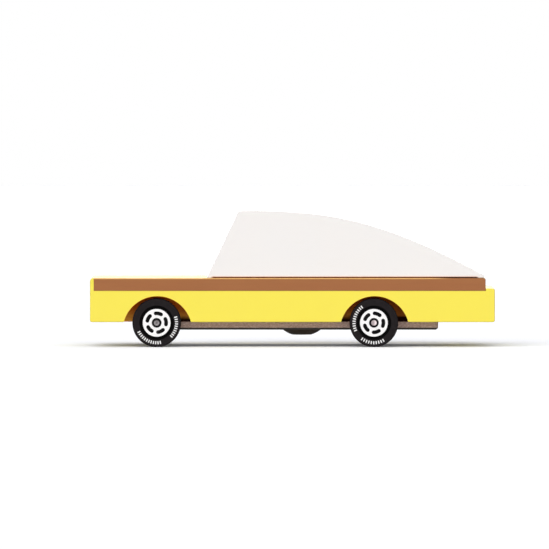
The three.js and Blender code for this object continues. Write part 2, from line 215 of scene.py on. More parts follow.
class Finish:
    """The nodes of a material or of the world, each added by the one method below."""

    def __init__(self, owner):
        self.owner = owner
        owner.use_nodes = True
        self.tree = owner.node_tree
        self.tree.nodes.clear()

    def node(self, kind, settings=None, sockets=None, output=0):
        made = self.tree.nodes.new(kind)
        for name, value in (settings or {}).items():
            setattr(made, name, value)
        for key, value in (sockets or {}).items():
            if isinstance(value, Signal):
                self.tree.links.new(value.socket, made.inputs[key])
            else:
                made.inputs[key].default_value = value
        return Signal(self, made.outputs[output])

    def place(self, along_x=1.0, along_y=1.0, along_z=1.0):
        """The point on the piece in millimetres, with each axis squeezed by its number."""
        point = self.node("ShaderNodeTexCoord", output="Object")
        squeeze = tuple(number / MM for number in (along_x, along_y, along_z))
        return self.node("ShaderNodeVectorMath", {"operation": "MULTIPLY"}, {0: point, 1: squeeze})

    def noise(self, place, scale, detail=2.0, roughness=0.5):
        sockets = {"Vector": place, "Scale": scale, "Detail": detail, "Roughness": roughness}
        return self.node("ShaderNodeTexNoise", {}, sockets)

    def part(self, vector, axis):
        return self.node("ShaderNodeSeparateXYZ", {}, {0: vector}, axis)

    def at_rear(self):
        """0 at the front axle and its wheels, 1 at the rear ones."""
        x = self.part(self.place(), "X")
        return x.math("GREATER_THAN", x, (front_axle.x + rear_axle.x) / 2 / MM)

    def behind_axle(self):
        """How far behind the nearer axle a point lies, in millimetres."""
        wheelbase = (rear_axle.x - front_axle.x) / MM
        return self.part(self.place(), "X") - front_axle.x / MM - self.at_rear() * wheelbase

    def above_axle(self):
        return self.part(self.place(), "Z") - front_axle.z / MM

    def axle_radius(self):
        """The radius about the nearer axle, in millimetres."""
        behind = self.behind_axle()
        above = self.above_axle()
        square = behind * behind + above * above
        return square.math("SQRT", square)

    def side_edge(self, half, radius):
        """1 along the rounded edges round the two sides of a block of this half width, 0 elsewhere."""
        y = self.part(self.place(), "Y")
        out = y.math("ABSOLUTE", y) - half / MM
        edge = radius / MM
        return out.span(-edge, -0.6 * edge) * (1 - out.span(-0.3 * edge, -0.05 * edge))

    def toward_tail(self):
        """0 along most of the cabin, 1 over its last stretch before the tail."""
        start, end = (share * cabin_high.x / MM for share in LAST_STRETCH_SHARES)
        return self.part(self.place(), "X").span(start, end)

    def blend(self, factor, first, second):
        settings = {"data_type": "RGBA"}
        return self.node("ShaderNodeMix", settings, {0: factor, 6: first, 7: second}, 2)

    def bump(self, height, relief):
        return self.node("ShaderNodeBump", {}, {"Height": height, "Distance": relief, "Strength": 1.0})

    def surface(self, **sockets):
        names = {key.replace("_", " "): value for key, value in sockets.items()}
        shader = self.node("ShaderNodeBsdfPrincipled", {}, names)
        return self.ended("ShaderNodeOutputMaterial", shader)

    def ended(self, kind, shader):
        end = self.tree.nodes.new(kind)
        self.tree.links.new(shader.socket, end.inputs["Surface"])
        return self.owner


def new_finish(name):
    return Finish(bpy.data.materials.new(name))


def colour(red, green, blue):
    return (red, green, blue, 1.0)


YELLOW = colour(0.99, 0.838, 0.083)
WARM_YELLOW = colour(0.985, 0.828, 0.08)
DEEP_YELLOW = colour(0.80, 0.56, 0.045)
WHITE = colour(0.89, 0.855, 0.83)
COOL_WHITE = colour(0.88, 0.85, 0.83)
WORN_WHITE = colour(0.78, 0.70, 0.58)
BROWN = colour(0.345, 0.119, 0.027)
RED_BROWN = colour(0.335, 0.111, 0.025)
PALE_BROWN = colour(0.95, 0.55, 0.18)
DARK_BROWN = colour(0.25, 0.095, 0.036)
AMBER = colour(0.99, 0.46, 0.07)
SHADED_RED_AMBER = colour(0.80, 0.16, 0.01)
DEEP_AMBER = colour(0.70, 0.19, 0.02)
DARK_AMBER = colour(0.30, 0.075, 0.012)
SHADOW_BLACK = colour(0.012, 0.002, 0.001)
SEAM_SHADE_BROWN = colour(0.15, 0.035, 0.001)
SHADED_SEAM = colour(0.045, 0.008, 0.001)
BOUNCE_TINTED_WHITE = colour(0.88, 0.42, 0.22)
PALE_BEECH = colour(0.66, 0.43, 0.22)
BEECH = colour(0.56, 0.33, 0.15)
FIBRE = colour(0.47, 0.32, 0.27)
PALE_FIBRE = colour(0.64, 0.475, 0.42)
DARK_FIBRE = colour(0.235, 0.145, 0.115)
FIBRE_FACE_AND_SHADE = colour(0.022, 0.017, 0.014)
BRONZE = colour(0.06, 0.042, 0.022)
SCRATCHED_AND_LIT_BRONZE = colour(0.40, 0.27, 0.18)
STEEL = colour(0.46, 0.40, 0.40)
SHADED_STEEL = colour(0.15, 0.12, 0.125)
TARNISHED_STEEL = colour(0.10, 0.096, 0.10)
BLACK_STEEL = colour(0.02, 0.018, 0.018)
BLACK_PLASTIC = colour(0.003, 0.0026, 0.003)
GREY_PLASTIC = colour(0.006, 0.0055, 0.006)
WHITE_PLASTIC = colour(0.975, 0.96, 0.96)
SHADED_PLASTIC = colour(0.84, 0.835, 0.83)
RUBBER = colour(0.017, 0.0142, 0.0154)
DUSTY_RUBBER = colour(0.028, 0.024, 0.025)
SHADED_RUBBER = colour(0.0012, 0.001, 0.0011)
INK = colour(0.86, 0.855, 0.85)
THIN_INK = colour(0.55, 0.545, 0.54)

# Relief of each finish
PAINT_RELIEF = 0.004 * MM
VENEER_RELIEF = 0.012 * MM
RAW_WOOD_RELIEF = 0.02 * MM
FIBRE_RELIEF = 0.025 * MM
BRONZE_RELIEF = 0.006 * MM
STEEL_RELIEF = 0.012 * MM
BLACK_PLASTIC_RELIEF = 0.008 * MM
WHITE_PLASTIC_RELIEF = 0.006 * MM
RUBBER_RELIEF = 0.02 * MM
INK_RELIEF = 0.006 * MM

# Where a finish changes, in millimetres, and for the last stretch in shares of the way to the cabin's tail
TAIL_EDGE_SHADE = 0.3
LAST_STRETCH_SHARES = 0.7, 0.85
SEAM_HEIGHT = 0.3
SEAM_BLUR = 0.06
SEAM_FADE = 0.8
SEAM_AFTER_WINDSCREEN = 0.7
SEAM_BEFORE_TAIL = 0.9
BAND_HIGHLIGHT_BELOW_TOP = -0.22, -0.06
WELL_REDDENS_ABOVE_AXLE = 0.8, 3.6
WELL_DARKENS_BEHIND_AXLE = 2.5, 5.5
WELL_SHADOW_ENDS_ABOVE_AXLE = 0.5, 1.7
WELL_SHADOW_STARTS_BEHIND_AXLE = -1.0, 1.0
PLATE_SKIN_AND_SHADE = 0.42
PLATE_SKIN_AND_SHADE_BLUR = 0.16
SCREW_HIGHLIGHT_BELOW_SEAT = -0.34, -0.16
HEAD_PEENED_RADIUS = 0.2, 0.4
HEAD_RIM_SHADE_RADIUS = 0.5, 0.62
HEAD_LIT_BEHIND_AXLE = -0.2, 0.5
HEAD_SHADED_ABOVE_AXLE = 0.1, 0.5
DISC_GRIME_RADIUS = 2.75, 2.95
TYRE_GROOVE_RADIUS = 3.5, 3.7


def grain_of(finish):
    """Pores of the wood under a coat of paint: short streaks that run along the car."""
    streaks = finish.noise(finish.place(0.22, 2.1, 2.1), 1.0, 3.0, 0.6)
    return streaks.span(0.56, 0.74)


def make_yellow_paint():
    paint = new_finish("yellow_paint")
    pores = grain_of(paint)
    cloud = paint.noise(paint.place(), 0.11, 3.0)
    peel = paint.noise(paint.place(), 2.6, 1.0)
    chips = paint.noise(paint.place(0.5, 1, 1), 1.7, 4.0, 0.65)
    coat = paint.blend(cloud.span(0.35, 0.68), YELLOW, WARM_YELLOW)
    coat = paint.blend(pores * 0.03, coat, DEEP_YELLOW)
    # Beech-coloured chips of wear along the side edges, and painted shade as a beech-brown line along the
    # rounded edges at the tail
    tail_x = body_high.x / MM
    tail = paint.part(paint.place(), "X").span(tail_x - TAIL_EDGE_SHADE, tail_x - TAIL_EDGE_SHADE / 3)
    worn = paint.side_edge(half_width, BODY_EDGE_RADIUS) * (chips.span(0.45, 0.65) * 0.42 + tail * 0.85)
    return paint.surface(
        Base_Color=paint.blend(worn, coat, BEECH),
        Roughness=0.34 + 0.14 * cloud + 0.1 * pores,
        Normal=paint.bump(peel * 0.5 - pores, PAINT_RELIEF),
        IOR=1.46,
        Specular_IOR_Level=0.02,
        Coat_Weight=0.25 + 0.2 * cloud,
        Coat_Roughness=0.15,
    )


def make_white_paint():
    """White paint with painted shade as a deep brown line along its foot on the body, and a warm painted
    reflection of the body just above it.
    """
    paint = new_finish("white_paint")
    pores = grain_of(paint)
    cloud = paint.noise(paint.place(), 0.09, 3.0)
    peel = paint.noise(paint.place(), 2.6, 1.0)
    chips = paint.noise(paint.place(0.5, 1, 1), 1.6, 4.0, 0.65)
    coat = paint.blend(cloud.span(0.35, 0.68), WHITE, COOL_WHITE)
    coat = paint.blend(pores * 0.05, coat, WORN_WHITE)
    worn = paint.side_edge(cabin_high.y, CABIN_EDGE_RADIUS) * chips.span(0.5, 0.7) * 0.15
    coat = paint.blend(worn, coat, WORN_WHITE)
    height = paint.part(paint.place(), "Z") - cabin_low.z / MM
    along = paint.part(paint.place(), "X")
    seam_front = cabin_low.x / MM + SEAM_AFTER_WINDSCREEN
    seam_rear = cabin_high.x / MM - SEAM_BEFORE_TAIL
    ends = along.span(seam_front, seam_front + SEAM_FADE)
    ends = ends * (1 - along.span(seam_rear - SEAM_FADE, seam_rear))
    # Painted shade: a deep brown line along the cabin's foot where it meets the body, with no coat on it
    edge = (height + chips * SEAM_BLUR).span(SEAM_HEIGHT - SEAM_BLUR, SEAM_HEIGHT + SEAM_BLUR)
    seam_shade = (1 - edge) * ends
    # Painted reflection: a warm tint of the body's colour on the cabin's foot, just above the brown line
    coat = paint.blend((1 - height.span(SEAM_HEIGHT, 2 * SEAM_HEIGHT)) * ends * 0.45, coat, BOUNCE_TINTED_WHITE)
    return paint.surface(
        Base_Color=paint.blend(seam_shade, coat, paint.blend(paint.toward_tail(), SEAM_SHADE_BROWN, SHADED_SEAM)),
        Roughness=0.4 + 0.14 * cloud + 0.1 * pores,
        Normal=paint.bump(peel * 0.5 - pores, PAINT_RELIEF),
        IOR=1.46,
        Specular_IOR_Level=0.1,
        Coat_Weight=(0.7 + 0.3 * cloud) * (1 - seam_shade),
        Coat_Roughness=0.1,
    )


def make_brown_veneer():
    veneer = new_finish("brown_veneer")
    fibres = veneer.noise(veneer.place(0.09, 3.2, 3.2), 1.0, 4.0, 0.6)
    pores = veneer.noise(veneer.place(0.35, 6, 6), 1.0, 2.0).span(0.6, 0.72)
    figure = veneer.noise(veneer.place(0.06, 0.7, 0.7), 1.0, 2.0)
    tone = veneer.blend(figure.span(0.3, 0.7), BROWN, RED_BROWN)
    tone = veneer.blend(fibres.span(0.45, 0.75) * 0.16, tone, DARK_BROWN)
    tone = veneer.blend(pores * 0.2, tone, DARK_BROWN)
    # Painted highlight: a paler, ragged line along the band's top edge, fading out toward the tail
    height = veneer.part(veneer.place(), "Z") - body_high.z / MM
    brightened = (height + fibres * 0.08).span(*BAND_HIGHLIGHT_BELOW_TOP) * (1 - veneer.toward_tail())
    return veneer.surface(
        Base_Color=veneer.blend(brightened, tone, PALE_BROWN),
        Roughness=0.52 + 0.12 * fibres,
        Normal=veneer.bump(fibres * 0.4 - pores, VENEER_RELIEF),
        IOR=1.45,
    )


def make_bored_wood():
    """Raw wood in the wheel wells, with the rings that the boring cutter left and painted shade."""
    wood = new_finish("bored_wood")
    radius = wood.axle_radius()
    chatter = wood.noise(wood.place(), 0.8, 2.0)
    rings = wood.node("ShaderNodeMath", {"operation": "SINE"}, {0: radius * 19 + chatter * 5})
    streaks = wood.noise(wood.place(0.25, 2.4, 2.4), 1.0, 4.0, 0.6)
    rear = wood.at_rear()
    behind = wood.behind_axle()
    above = wood.above_axle()
    # Painted shade: redder higher up, darker behind the axle, and black low down behind the front axle and
    # across the rear wells; the rear wells are also darker all over
    tone = wood.blend(above.span(*WELL_REDDENS_ABOVE_AXLE), AMBER, SHADED_RED_AMBER)
    tone = wood.blend(streaks.span(0.38, 0.68) * 0.4 + rings.span(0.3, 1.0) * 0.1, tone, DEEP_AMBER)
    tone = wood.blend(rear * 0.55 + behind.span(*WELL_DARKENS_BEHIND_AXLE) * 0.3, tone, DARK_AMBER)
    low_shadow = behind.span(*WELL_SHADOW_STARTS_BEHIND_AXLE) + rear
    low_shadow = (1 - above.span(*WELL_SHADOW_ENDS_ABOVE_AXLE)) * low_shadow
    return wood.surface(
        Base_Color=wood.blend(low_shadow, tone, SHADOW_BLACK),
        Roughness=0.72 + 0.1 * streaks,
        Normal=wood.bump(rings * 0.4 - streaks, RAW_WOOD_RELIEF),
        Specular_IOR_Level=0.04,
    )


def make_raw_beech():
    wood = new_finish("raw_beech")
    streaks = wood.noise(wood.place(2.4, 2.4, 0.25), 1.0, 4.0, 0.6)
    return wood.surface(
        Base_Color=wood.blend(streaks.span(0.35, 0.7), PALE_BEECH, BEECH),
        Roughness=0.7 + 0.1 * streaks,
        Normal=wood.bump(streaks, RAW_WOOD_RELIEF),
    )


def make_fibreboard():
    """Pressed fibres: flecked edges, and a darker, smoother face underneath that runs up over the chamfer
    as painted shade.
    """
    board = new_finish("fibreboard")
    flecks = board.noise(board.place(0.8, 1, 2.2), 2.4, 4.0, 0.7)
    layers = board.noise(board.place(0.12, 0.12, 3.0), 1.0, 3.0, 0.6)
    # The underside colour runs up over the chamfer and the foot of the edge: painted shade of the plate's
    # lower edge
    height = board.part(board.place(), "Z")
    skin_and_shade_top = plate_low.z / MM + PLATE_SKIN_AND_SHADE
    wander = board.noise(board.place(), 0.7, 2.0)
    skin_and_shade = 1 - (height + wander * 0.12).span(skin_and_shade_top, skin_and_shade_top + PLATE_SKIN_AND_SHADE_BLUR)
    edge = board.blend(flecks.span(0.48, 0.62), FIBRE, PALE_FIBRE)
    edge = board.blend((1 - flecks).span(0.56, 0.68) * 0.8, edge, DARK_FIBRE)
    edge = board.blend(layers.span(0.5, 0.7) * 0.3, edge, DARK_FIBRE)
    face = board.blend(flecks.span(0.5, 0.7) * 0.15, FIBRE_FACE_AND_SHADE, DARK_FIBRE)
    return board.surface(
        Base_Color=board.blend(skin_and_shade, edge, face),
        Roughness=0.9 - 0.25 * skin_and_shade,
        Normal=board.bump(flecks + layers * 0.6, FIBRE_RELIEF),
    )


def make_bronzed_steel():
    """Bronzed steel, near black, with small bright scratches and a painted highlight round the top of the
    head.
    """
    steel = new_finish("bronzed_steel")
    cloud = steel.noise(steel.place(), 1.2, 3.0)
    scratches = steel.noise(steel.place(0.6, 5, 1), 1.4, 3.0, 0.6).span(0.62, 0.7)
    # Painted highlight: a bright band round the top of the domed head, next to the plate
    height = steel.part(steel.place(), "Z") - screw_seat_z / MM
    brightened = scratches * 0.4 + height.span(*SCREW_HIGHLIGHT_BELOW_SEAT)
    return steel.surface(
        Base_Color=steel.blend(brightened, BRONZE, SCRATCHED_AND_LIT_BRONZE),
        Roughness=0.4 + 0.2 * cloud,
        Metallic=0.4,
        Normal=steel.bump(cloud, BRONZE_RELIEF),
    )


def make_bright_steel():
    """Axle steel with turning marks across the heads and a peened middle, tarnished on the front axle,
    with painted shade on the heads.
    """
    steel = new_finish("bright_steel")
    radius = steel.axle_radius()
    dents = steel.noise(steel.place(), 3.4, 3.0)
    peened = 1 - (radius + dents * 0.12).span(*HEAD_PEENED_RADIUS)
    marks = steel.noise(steel.place(9, 0.6, 9), 1.0, 2.0)
    rear = steel.at_rear()
    tone = steel.blend((1 - rear) * (1.05 - dents * 0.4), STEEL, TARNISHED_STEEL)
    # Painted shade: the rear heads are shaded over their front half, and the front heads over their top,
    # where their peened middles are also tarnished deeper
    shaded_front_half = 1 - steel.behind_axle().span(*HEAD_LIT_BEHIND_AXLE)
    tone = steel.blend(rear * shaded_front_half * 0.8, tone, SHADED_STEEL)
    tarnish_and_shade = peened * 0.5 + steel.above_axle().span(*HEAD_SHADED_ABOVE_AXLE) * 0.6
    tone = steel.blend((1 - rear) * tarnish_and_shade, tone, BLACK_STEEL)
    return steel.surface(
        # Painted shade: a black ring round the rim of every head
        Base_Color=steel.blend(radius.span(*HEAD_RIM_SHADE_RADIUS) * 0.9, tone, BLACK_STEEL),
        Roughness=0.26 + 0.16 * marks + 0.14 * peened,
        Metallic=1.0,
        Normal=steel.bump(marks * 0.4 + dents, STEEL_RELIEF),
    )


def make_black_plastic():
    plastic = new_finish("black_plastic")
    spark = plastic.noise(plastic.place(), 7.0, 2.0)
    flow = plastic.noise(plastic.place(), 0.6, 3.0)
    return plastic.surface(
        Base_Color=plastic.blend(flow.span(0.3, 0.75), BLACK_PLASTIC, GREY_PLASTIC),
        Roughness=0.45 + 0.16 * spark,
        Normal=plastic.bump(spark, BLACK_PLASTIC_RELIEF),
        Specular_IOR_Level=0.04,
    )


def make_white_plastic():
    plastic = new_finish("white_plastic")
    spark = plastic.noise(plastic.place(), 7.0, 2.0)
    flow = plastic.noise(plastic.place(), 0.5, 3.0, 0.6)
    grime = plastic.axle_radius().span(*DISC_GRIME_RADIUS) * flow.span(0.4, 0.7)
    return plastic.surface(
        Base_Color=plastic.blend(flow.span(0.52, 0.8) * 0.5 + grime * 0.4, WHITE_PLASTIC, SHADED_PLASTIC),
        Roughness=0.32 + 0.16 * spark,
        Normal=plastic.bump(spark, WHITE_PLASTIC_RELIEF),
    )


def make_rubber():
    """Tyre rubber: fine grit and dust that settles unevenly, with painted shade blackening the sidewall
    groove round the disc.
    """
    rubber = new_finish("tyre_rubber")
    grit = rubber.noise(rubber.place(), 5.0, 3.0, 0.6)
    dust = rubber.noise(rubber.place(), 0.8, 4.0, 0.6)
    groove = 1 - rubber.axle_radius().span(*TYRE_GROOVE_RADIUS)
    face = rubber.blend(dust.span(0.42, 0.8) * 0.6 + grit.span(0.6, 0.8) * 0.25, RUBBER, DUSTY_RUBBER)
    return rubber.surface(
        Base_Color=rubber.blend(groove, face, SHADED_RUBBER),
        Roughness=0.68 + 0.18 * grit,
        Normal=rubber.bump(grit, RUBBER_RELIEF),
        Specular_IOR_Level=0.04,
    )


def make_white_ink():
    ink = new_finish("white_ink")
    cover = ink.noise(ink.place(), 6.0, 3.0, 0.6)
    return ink.surface(
        Base_Color=ink.blend(cover.span(0.55, 0.75) * 0.7, INK, THIN_INK),
        Roughness=0.5 + 0.2 * cover,
        Normal=ink.bump(cover, INK_RELIEF),
    )


yellow_paint = make_yellow_paint()
white_paint = make_white_paint()
brown_veneer = make_brown_veneer()
bored_wood = make_bored_wood()
raw_beech = make_raw_beech()
fibreboard = make_fibreboard()
bronzed_steel = make_bronzed_steel()
bright_steel = make_bright_steel()
black_plastic = make_black_plastic()
white_plastic = make_white_plastic()
rubber = make_rubber()
white_ink = make_white_ink()


class Loop:
    """A closed line of points."""

    def __init__(self):
        self.points = []

    def add(self, x, y):
        self.points.append(Vector((x, y)))

    def curve(self, controls, steps):
        """A smooth curve from the first control to the last, bent by the rest. The first isn't added."""
        for step in range(1, steps + 1):
            share = step / steps
            line = [Vector(point) for point in controls]
            while len(line) > 1:
                line = [a.lerp(b, share) for a, b in zip(line, line[1:])]
            self.add(*line[0])

    def arc(self, centre, radius, start, end, steps):
        for step in range(steps + 1):
            turn = start + (end - start) * step / steps
            self.add(centre[0] + radius * math.cos(turn), centre[1] + radius * math.sin(turn))

    def outward(self):
        """The direction away from the material at each point, for a loop with the material on its left."""
        found = []
        for index, point in enumerate(self.points):
            before = (point - self.points[index - 1]).normalized()
            after = (self.points[(index + 1) % len(self.points)] - point).normalized()
            sides = [Vector((along.y, -along.x)) for along in (before, after)]
            found.append((sides[0] + sides[1]) / (1 + sides[0].dot(sides[1])))
        return found


def rounded(corners, steps=CORNER_STEPS):
    """A closed outline through corners of the form (x, y, radius)."""
    loop = Loop()
    for index, (x, y, radius) in enumerate(corners):
        corner = Vector((x, y))
        before = Vector(corners[index - 1][:2])
        after = Vector(corners[(index + 1) % len(corners)][:2])
        entry = corner + (before - corner).normalized() * radius
        leave = corner + (after - corner).normalized() * radius
        loop.add(*entry)
        loop.curve((entry, corner, leave), steps)
    return loop


def circle(radius, sides, x=0.0, y=0.0, clockwise=False):
    loop = Loop()
    way = -1 if clockwise else 1
    for index in range(sides):
        turn = way * 2 * math.pi * index / sides
        loop.add(x + radius * math.cos(turn), y + radius * math.sin(turn))
    return loop


def rounded_rows(low, high, radius, steps=EDGE_STEPS):
    """Rows of (inset, height) for a plate whose two faces end in rounded edges."""
    rows = []
    for step in range(steps + 1):
        turn = math.pi / 2 * step / steps
        rows.append((radius * (1 - math.sin(turn)), radius * (1 - math.cos(turn))))
    lower = [(inset, low + rise) for inset, rise in rows]
    upper = [(inset, high - rise) for inset, rise in reversed(rows)]
    return lower + upper


def straight_rows(low, high):
    return [(0.0, low), (0.0, high)]


def across(point, height):
    """A side view carried across the car."""
    return Vector((point.x, height, point.y))


def upright(point, height):
    """A plan view carried upwards."""
    return Vector((point.x, point.y, height))


def piece_from(name, mesh, finish):
    bmesh.ops.recalc_face_normals(mesh, faces=mesh.faces)
    data = bpy.data.meshes.new(name)
    mesh.to_mesh(data)
    mesh.free()
    data.materials.append(finish)
    piece = bpy.data.objects.new(name, data)
    bpy.context.scene.collection.objects.link(piece)
    return piece


def add_slab(mesh, loops, rows, place):
    """Adds a closed plate to a mesh: loops, the outline first and then holes, carried through the rows."""
    directions = [loop.outward() for loop in loops]
    rings = []
    for inset, height in rows:
        ring = []
        for loop, away in zip(loops, directions):
            line = [point - direction * inset for point, direction in zip(loop.points, away)]
            ring.append([mesh.verts.new(place(spot, height)) for spot in line])
        rings.append(ring)
    for lower, upper in zip(rings, rings[1:]):
        for low_line, high_line in zip(lower, upper):
            for index in range(len(low_line)):
                corners = low_line[index - 1], low_line[index], high_line[index], high_line[index - 1]
                mesh.faces.new(corners)
    for ring, (inset, _) in zip((rings[0], rings[-1]), (rows[0], rows[-1])):
        if len(ring) == 1:
            mesh.faces.new(ring[0])
            continue
        flat = [
            [(point - direction * inset).to_3d() for point, direction in zip(loop.points, away)]
            for loop, away in zip(loops, directions)
        ]
        vertices = [vertex for line in ring for vertex in line]
        for corners in tessellate_polygon(flat):
            mesh.faces.new([vertices[corner] for corner in corners])


def slab(name, loops, rows, place, finish):
    mesh = bmesh.new()
    add_slab(mesh, loops, rows, place)
    return piece_from(name, mesh, finish)


def turned(name, profile, sides, place, finish):
    """A lathe piece: a closed profile of (radius, along) swept round the axis that place gives."""
    mesh = bmesh.new()
    rings = []
    for index in range(sides):
        turn = 2 * math.pi * index / sides
        ring = []
        for point in profile.points:
            spot = Vector((point.x * math.cos(turn), point.x * math.sin(turn)))
            ring.append(mesh.verts.new(place(spot, point.y)))
        rings.append(ring)
    for index in range(sides):
        here, there = rings[index - 1], rings[index]
        for step in range(len(here)):
            mesh.faces.new((here[step - 1], here[step], there[step], there[step - 1]))
    bmesh.ops.remove_doubles(mesh, verts=mesh.verts, dist=WELD_DISTANCE)
    return piece_from(name, mesh, finish)


def carve(piece, cutter, operation="DIFFERENCE"):
    """Cuts a piece by another, whose finish stays on the cut, and drops the other."""
    step = piece.modifiers.new("carve", "BOOLEAN")
    step.operation = operation
    step.object = cutter
    step.solver = "EXACT"
    step.material_mode = "TRANSFER"
    graph = bpy.context.evaluated_depsgraph_get()
    carved = bpy.data.meshes.new_from_object(
        piece.evaluated_get(graph), preserve_all_data_layers=True, depsgraph=graph
    )
    piece.modifiers.clear()
    piece.data = carved
    bpy.data.objects.remove(cutter)
    return piece


def mount(piece, body, node):
    """Smooths a piece, lets it ride on its body and stand for its CAD node."""
    piece.data.shade_smooth()
    piece.data.set_sharp_from_angle(angle=SMOOTH_ANGLE)
    normals = piece.modifiers.new("flat_faces", "WEIGHTED_NORMAL")
    normals.keep_sharp = True
    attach(piece, body)
    if node:
        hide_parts(node)
    return piece


def body_blank(name, finish):
    """The body before any cut: a long block whose tail is stepped out below."""
    outline = rounded([
        (body_low.x, body_low.z, BODY_CORNER_RADIUS),
        (body_high.x, body_low.z, BODY_CORNER_RADIUS),
        (body_high.x, step_top_z, BODY_CORNER_RADIUS),
        (upper_tail_x, step_top_z, BODY_EDGE_RADIUS),
        (upper_tail_x, body_high.z, BODY_CORNER_RADIUS),
        (body_low.x, body_high.z, NOSE_TOP_RADIUS),
    ])
    return slab(name, [outline], rounded_rows(-half_width, half_width, BODY_EDGE_RADIUS), across, finish)


def band_space(side, gap, finish):
    """The space of a side band, grown by a gap for its pocket and open at the side and the top."""
    thickness = band_high.y - band_low.y
    inner = side * (half_width - thickness - gap)
    outer = side * (half_width + CUT_MARGIN)
    rear = band_high.x + (gap or -BAND_END_EASE)
    loop = Loop()
    loop.add(band_low.x - gap, band_low.z - gap)
    loop.add(rear, band_low.z - gap)
    loop.add(rear, body_high.z + CUT_MARGIN)
    loop.add(band_low.x - gap, body_high.z + CUT_MARGIN)
    return slab("band_space", [loop], straight_rows(min(inner, outer), max(inner, outer)), across, finish)


def wheel_well(axle, side):
    """A well behind a wheel arch, flared at the side of the body so that the arch has an eased edge."""
    tyre_low, tyre_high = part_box("front_left_tyre")
    radius = (tyre_high.z - tyre_low.z) / 2 + ARCH_BEYOND_TYRE
    centre = Vector((axle.x + ARCH_BEHIND_AXLE, axle.z - ARCH_BELOW_AXLE))
    foot_z = body_low.z + ARCH_FOOT_RADIUS
    foot_turn = math.asin((foot_z - centre.y) / radius)
    knee = radius * math.cos(foot_turn)
    toe = knee + ARCH_FOOT_RADIUS
    below = body_low.z - CUT_MARGIN
    loop = Loop()
    loop.add(centre.x - toe, below)
    loop.add(centre.x + toe, below)
    loop.add(centre.x + toe, body_low.z)
    foot = Vector((centre.x + toe, body_low.z)), Vector((centre.x + knee, body_low.z))
    loop.curve((*foot, (centre.x + knee, foot_z)), CORNER_STEPS)
    arch = Loop()
    arch.arc(centre, radius, foot_turn, math.pi - foot_turn, ARCH_STEPS)
    for point in arch.points[1:]:
        loop.add(*point)
    foot = Vector((centre.x - knee, body_low.z)), Vector((centre.x - toe, body_low.z))
    loop.curve((arch.points[-1], *foot), CORNER_STEPS)
    rows = [(0.0, core_half_width)]
    for step in range(EDGE_STEPS + 1):
        turn = math.pi / 2 * step / EDGE_STEPS
        flare = ARCH_EDGE_EASE * (1 - math.cos(turn))
        rows.append((-flare, half_width - ARCH_EDGE_EASE * (1 - math.sin(turn))))
    rows.append((-ARCH_EDGE_EASE, half_width + CUT_MARGIN))
    return slab("wheel_well", [loop], [(inset, side * y) for inset, y in rows], across, bored_wood)


def upright_hole(x, y, radius, low, high, finish):
    return slab("hole", [circle(radius, HOLE_SIDES, x, y)], straight_rows(low, high), upright, finish)


def axle_groove(axle, finish):
    reach = core_half_width + CUT_MARGIN
    loop = circle(AXLE_RADIUS + PRESS_GAP, HOLE_SIDES, axle.x, axle.z)
    return slab("groove", [loop], straight_rows(-reach, reach), across, finish)


def dowel_holes(finish, low, high):
    for name in DOWELS:
        dowel_low, dowel_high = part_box(name)
        radius = (dowel_high.x - dowel_low.x) / 2 + PRESS_GAP
        middle = (dowel_low + dowel_high) / 2
        yield upright_hole(middle.x, middle.y, radius, low, high, finish)


def make_body():
    body = body_blank("painted_body", yellow_paint)
    for axle in axle_centres:
        for side in (-1, 1):
            carve(body, wheel_well(axle, side))
        carve(body, axle_groove(axle, bored_wood))
    dowel_low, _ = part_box("cabin_dowel_front")
    for hole in dowel_holes(bored_wood, dowel_low.z - BLIND_HOLE_SPACE, body_high.z + CUT_MARGIN):
        carve(body, hole)
    pilot_top = screw_high.z + BLIND_HOLE_SPACE
    pilot_radius = SCREW_SHANK_RADIUS + PRESS_GAP
    pilot_low = body_low.z - CUT_MARGIN
    carve(body, upright_hole(screw_centre.x, 0.0, pilot_radius, pilot_low, pilot_top, bored_wood))
    for side in (-1, 1):
        carve(body, band_space(side, GLUE_GAP, bored_wood))
    mount(body, "car_body", "body_block")


def make_band(name, side):
    band = body_blank(f"brown_{name}", brown_veneer)
    carve(band, band_space(side, 0.0, brown_veneer), "INTERSECT")
    mount(band, "car_body", name)


def make_cabin():
    """A raked windscreen, then one long curve from the header down to a low, blunt tail."""
    roof_z = cabin_low.z + CABIN_HEIGHT
    header = Vector((cabin_low.x + WINDSCREEN_RUN, roof_z))
    windscreen_foot = Vector((cabin_low.x, cabin_low.z))
    tail = Vector((cabin_high.x, cabin_low.z + CABIN_TAIL_HEIGHT))
    fastback = Vector((tail.x - FASTBACK_RUN, roof_z - FASTBACK_BELOW_ROOF))
    crown = Vector((header.x + ROOF_CROWN_RUN, roof_z))
    roof_front = header + Vector((HEADER_RADIUS, 0.0))
    fastback_up = tail + (fastback - tail).normalized() * CABIN_TAIL_RADIUS
    windscreen_up = (header - windscreen_foot).normalized() * HEADER_RADIUS
    loop = Loop()
    loop.add(*windscreen_foot)
    loop.add(tail.x, cabin_low.z)
    loop.add(tail.x, tail.y - CABIN_TAIL_RADIUS)
    loop.curve((loop.points[-1], tail, fastback_up), CORNER_STEPS)
    loop.curve((fastback_up, fastback, crown, roof_front), ROOF_STEPS)
    loop.curve((loop.points[-1], header, header - windscreen_up), CORNER_STEPS)
    rows = rounded_rows(cabin_low.y, cabin_high.y, CABIN_EDGE_RADIUS)
    cabin = slab("white_cabin", [loop], rows, across, white_paint)
    _, dowel_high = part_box("cabin_dowel_front")
    for hole in dowel_holes(raw_beech, cabin_low.z - CUT_MARGIN, dowel_high.z + BLIND_HOLE_SPACE):
        carve(cabin, hole)
    mount(cabin, "car_body", "cabin_block")


